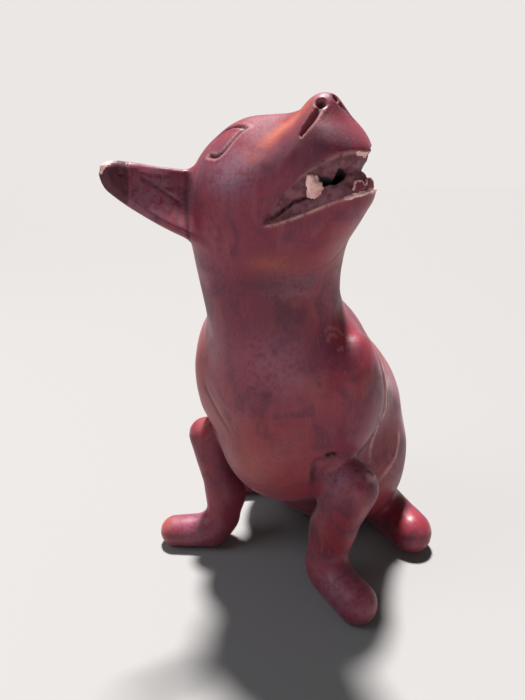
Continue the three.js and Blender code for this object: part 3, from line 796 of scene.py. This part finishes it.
def burnished_clay():
    m, nodes, links = material("burnished_clay_fine")

    def node(kind, **values):
        n = nodes.new(kind)
        for key, value in values.items():
            setattr(n, key, value)
        return n

    def noise(vector, scale, detail=4, rough=0.55, warp=0.0):
        n = node("ShaderNodeTexNoise")
        n.inputs["Scale"].default_value = scale
        n.inputs["Detail"].default_value = detail
        n.inputs["Roughness"].default_value = rough
        n.inputs["Distortion"].default_value = warp
        links.new(vector, n.inputs["Vector"])
        return n.outputs["Fac"]

    def ramp(value, low, high):
        n = node("ShaderNodeMapRange", interpolation_type="SMOOTHSTEP")
        n.inputs["From Min"].default_value = low
        n.inputs["From Max"].default_value = high
        links.new(value, n.inputs["Value"])
        return n.outputs["Result"]

    def maths(op, a, b=None, clamp=False):
        n = node("ShaderNodeMath", operation=op, use_clamp=clamp)
        for socket, value in zip(n.inputs, (a, b)):
            if value is None:
                continue
            if isinstance(value, (int, float)):
                socket.default_value = value
            else:
                links.new(value, socket)
        return n.outputs[0]

    def times(a, b):
        return maths("MULTIPLY", a, b)

    def mix(amount, a, b, blend="MIX"):
        n = node("ShaderNodeMix", data_type="RGBA", blend_type=blend)
        for socket, value in ((n.inputs[0], amount), (n.inputs[6], a), (n.inputs[7], b)):
            if isinstance(value, (int, float)):
                socket.default_value = value
            elif isinstance(value, tuple):
                socket.default_value = (*value, 1)
            else:
                links.new(value, socket)
        return n.outputs[2]

    def mask(name):
        return node("ShaderNodeAttribute", attribute_name=name).outputs["Fac"]

    where = node("ShaderNodeTexCoord").outputs["Object"]
    stretch = node("ShaderNodeMapping")
    stretch.inputs["Scale"].default_value = (1, 1, 0.16)
    links.new(where, stretch.inputs["Vector"])
    streak_at = stretch.outputs["Vector"]

    clouds = noise(where, 14, 3, 0.5, 0.4)
    blotch = noise(where, 48, 5, 0.62, 0.9)
    mottle = noise(where, 260, 5, 0.66, 0.4)
    specks = noise(where, 620, 3, 0.6)
    scatter = noise(where, 60, 3, 0.6)
    streaks = noise(streak_at, 1500, 4, 0.62)
    bands = noise(streak_at, 200, 4, 0.55)

    # crimson and brick slip in clouds, with plum shadows in it
    colour = mix(ramp(clouds, 0.40, 0.60), (0.165, 0.014, 0.034), (0.225, 0.024, 0.038))
    colour = mix(times(ramp(blotch, 0.46, 0.64), 0.72), colour, (0.090, 0.014, 0.036))
    # Orange slip in patches, with painted light on the right flank and the right fore toe.
    colour = mix(times(mask("orange_and_lit"), ramp(blotch, 0.25, 0.58)), colour, (0.42, 0.090, 0.042))
    colour = mix(times(ramp(bands, 0.50, 0.74), 0.22), colour, (0.30, 0.080, 0.082))
    colour = mix(times(ramp(streaks, 0.50, 0.80), 0.16), colour, (0.36, 0.13, 0.14))
    # A lilac tone in random patches, and the painted lilac sheen of the sheen spots.
    lilac_and_sheen = maths("MAXIMUM", times(ramp(noise(where, 30, 4, 0.55, 0.3), 0.52, 0.72), 0.24), mask("painted_sheen"))
    colour = mix(times(lilac_and_sheen, times(ramp(mottle, 0.30, 0.60), 0.66)), colour, (0.28, 0.135, 0.195))
    # dark spots gather in patches
    gather = ramp(scatter, 0.46, 0.60)
    colour = mix(times(times(ramp(mottle, 0.54, 0.66), gather), 0.42), colour, (0.062, 0.018, 0.024))
    colour = mix(times(ramp(specks, 0.63, 0.70), 0.55), colour, (0.050, 0.018, 0.022))
    # fine crossing scratches that let the paler body show
    for turned, where_scratched in ((0.5, 0.66), (-0.9, 0.69)):
        slant = node("ShaderNodeMapping")
        slant.inputs["Rotation"].default_value = (turned, turned * 0.6, 0.4)
        slant.inputs["Scale"].default_value = (1, 1, 0.05)
        links.new(where, slant.inputs["Vector"])
        line = ramp(noise(slant.outputs["Vector"], 900, 2, 0.5), where_scratched, where_scratched + 0.05)
        colour = mix(times(times(line, ramp(blotch, 0.40, 0.60)), 0.15), colour, (0.55, 0.30, 0.29))
    unburnished = mix(ramp(mottle, 0.38, 0.62), (0.105, 0.042, 0.055), (0.225, 0.115, 0.130))
    colour = mix(times(mask("raw"), 0.65), colour, unburnished)
    # Pale painted highlights on ridges and rims, and pale scratches.
    colour = mix(times(mask("highlight_and_wear"), ramp(mottle, 0.28, 0.52)), colour, (0.66, 0.37, 0.32))
    # Near-black maroon: the real stain, crack and ear tip, and painted shade in the creases, grooves and pits,
    # on the muzzle's side, under the jaw and low on the chest.
    colour = mix(times(mask("stain_and_shade"), 0.88), colour, (0.032, 0.009, 0.013))
    # Painted shade: the hollows are painted near-black.
    colour = mix(mask("hollow_shade"), colour, (0.004, 0.002, 0.002))
    fresh = ramp(maths("ADD", mask("fresh"), times(maths("SUBTRACT", mottle, 0.5), 0.5)), 0.40, 0.56)
    broken = mix(ramp(mottle, 0.40, 0.62), (0.86, 0.56, 0.52), (0.66, 0.36, 0.34))
    colour = mix(fresh, colour, broken)

    rough = maths("ADD", 0.37, times(ramp(blotch, 0.35, 0.7), 0.18))
    rough = maths("ADD", rough, times(streaks, 0.12))
    dull = maths("MAXIMUM", fresh, times(mask("raw"), 0.6))
    dull = maths("MAXIMUM", dull, times(mask("stain_and_shade"), 0.6))
    dull = maths("MAXIMUM", dull, mask("hollow_shade"))
    rough = maths("ADD", rough, times(dull, 0.45), True)

    height = maths("ADD", times(streaks, 0.22), times(bands, 0.5))
    height = maths("ADD", height, times(mottle, 0.35))
    height = maths("ADD", height, times(times(specks, fresh), 2.0))
    bump = node("ShaderNodeBump")
    bump.inputs["Strength"].default_value = 0.6
    bump.inputs["Distance"].default_value = 0.0006
    links.new(height, bump.inputs["Height"])

    shader = node("ShaderNodeBsdfPrincipled")
    for socket, value in (
        ("Specular IOR Level", 0.38),
        ("Specular Tint", (1.0, 0.90, 0.95, 1)),
        ("Coat Weight", 0.10),
        ("Coat Roughness", 0.28),
        ("Sheen Weight", 0.12),
        ("Sheen Roughness", 0.40),
        ("Sheen Tint", (1.0, 0.72, 0.82, 1)),
    ):
        shader.inputs[socket].default_value = value
    links.new(colour, shader.inputs["Base Color"])
    links.new(rough, shader.inputs["Roughness"])
    links.new(bump.outputs["Normal"], shader.inputs["Normal"])
    out = node("ShaderNodeOutputMaterial")
    links.new(shader.outputs["BSDF"], out.inputs["Surface"])
    return m


def floor_finish():
    m, nodes, links = material("floor")
    shader = nodes.new("ShaderNodeBsdfPrincipled")
    shader.inputs["Base Color"].default_value = (0.250, 0.255, 0.250, 1)
    shader.inputs["Roughness"].default_value = 0.85
    out = nodes.new("ShaderNodeOutputMaterial")
    links.new(shader.outputs["BSDF"], out.inputs["Surface"])
    return m


# The piece

verts, quads = surface()
row = to_row(verts)
row = np.clip(row, A(cad_box[0]), A(cad_box[1]))
row[verts[:, 2] == 0, 2] = 0
mesh = bpy.data.meshes.new("dog_fine")
mesh.from_pydata(row.tolist(), [], quads.tolist())
mesh.update()
mesh.shade_smooth()
for name, value in masks(verts).items():
    mesh.attributes.new(name, "FLOAT", "POINT").data.foreach_set("value", value.astype(np.float32))
figure = bpy.data.objects.new("dog_fine", mesh)
bpy.context.scene.collection.objects.link(figure)
figure.data.materials.append(burnished_clay())
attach(figure, "root")
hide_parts("dog")
print("fine surface:", len(verts), "vertices,", 2 * len(quads), "triangles")


# Floor, light and camera

floor_mesh = bpy.data.meshes.new("floor")
floor_mesh.from_pydata([(-20, -20, 0), (20, -20, 0), (20, 20, 0), (-20, 20, 0)], [], [(0, 1, 2, 3)])
floor = bpy.data.objects.new("floor", floor_mesh)
floor.location.z = -0.0002
bpy.context.scene.collection.objects.link(floor)
floor.data.materials.append(floor_finish())


def soft_light(name, place, size, power, colour, target=(0, -0.05, 0.14)):
    data = bpy.data.lights.new(name, "AREA")
    data.shape = "DISK"
    data.size = size
    data.energy = power
    data.color = colour
    lamp = bpy.data.objects.new(name, data)
    lamp.location = place
    lamp.rotation_euler = (Vector(target) - Vector(place)).to_track_quat("-Z", "Y").to_euler()
    bpy.context.scene.collection.objects.link(lamp)


AZIMUTH = math.radians(29.6)
PITCH = math.radians(18.0)
FOCAL_PIXELS = 526.0
PICTURE_HEIGHT = 700.0
SENSOR = 36
CAMERA_AT = A([142.4, -260.9, 258.0])
KEY_DIRECTION = Vector((0.17, -0.24, -0.955))
SURROUND_LIGHT = 0.12
SURROUND_SEEN = 0.83
ahead = Vector((-math.sin(AZIMUTH), math.cos(AZIMUTH), 0))
right = Vector((math.cos(AZIMUTH), math.sin(AZIMUTH), 0))
forward = ahead * math.cos(PITCH) - Vector((0, 0, math.sin(PITCH)))
upward = ahead * math.sin(PITCH) + Vector((0, 0, math.cos(PITCH)))

# The key comes from nearly overhead, so that the head shades the chest.
key_data = bpy.data.lights.new("key", "SUN")
key_data.energy = 9.5
key_data.angle = math.radians(7)
key_data.color = (1.0, 0.94, 0.93)
key = bpy.data.objects.new("key", key_data)
key.rotation_euler = KEY_DIRECTION.to_track_quat("-Z", "Y").to_euler()
bpy.context.scene.collection.objects.link(key)
soft_light("fill", (-0.75, -0.75, 0.95), 0.9, 5.0, (0.86, 0.90, 1.0))
soft_light("low_fill", (0.55, -0.75, 0.10), 0.5, 1.2, (1.0, 0.90, 0.92))

# The surround looks pale and lights the figure only dimly.
world = bpy.data.worlds.new("studio")
world.use_nodes = True
nodes, links = world.node_tree.nodes, world.node_tree.links
seen = nodes.new("ShaderNodeMapRange")
seen.inputs["To Min"].default_value = SURROUND_LIGHT
seen.inputs["To Max"].default_value = SURROUND_SEEN
links.new(nodes.new("ShaderNodeLightPath").outputs["Is Camera Ray"], seen.inputs["Value"])
backdrop = nodes["Background"]
backdrop.inputs["Color"].default_value = (1.0, 0.964, 0.946, 1)
links.new(seen.outputs["Result"], backdrop.inputs["Strength"])
bpy.context.scene.world = world
bpy.context.scene.view_settings.view_transform = "Standard"

camera_data = bpy.data.cameras.new("camera")
camera_data.sensor_width = SENSOR
camera_data.lens = SENSOR * FOCAL_PIXELS / PICTURE_HEIGHT
camera_data.clip_start = 0.01
camera = bpy.data.objects.new("camera", camera_data)
camera.matrix_world = Matrix.Translation(Vector(to_row(CAMERA_AT))) @ Matrix(
    (right, upward, -forward)).transposed().to_4x4()
bpy.context.scene.collection.objects.link(camera)
bpy.context.scene.camera = camera
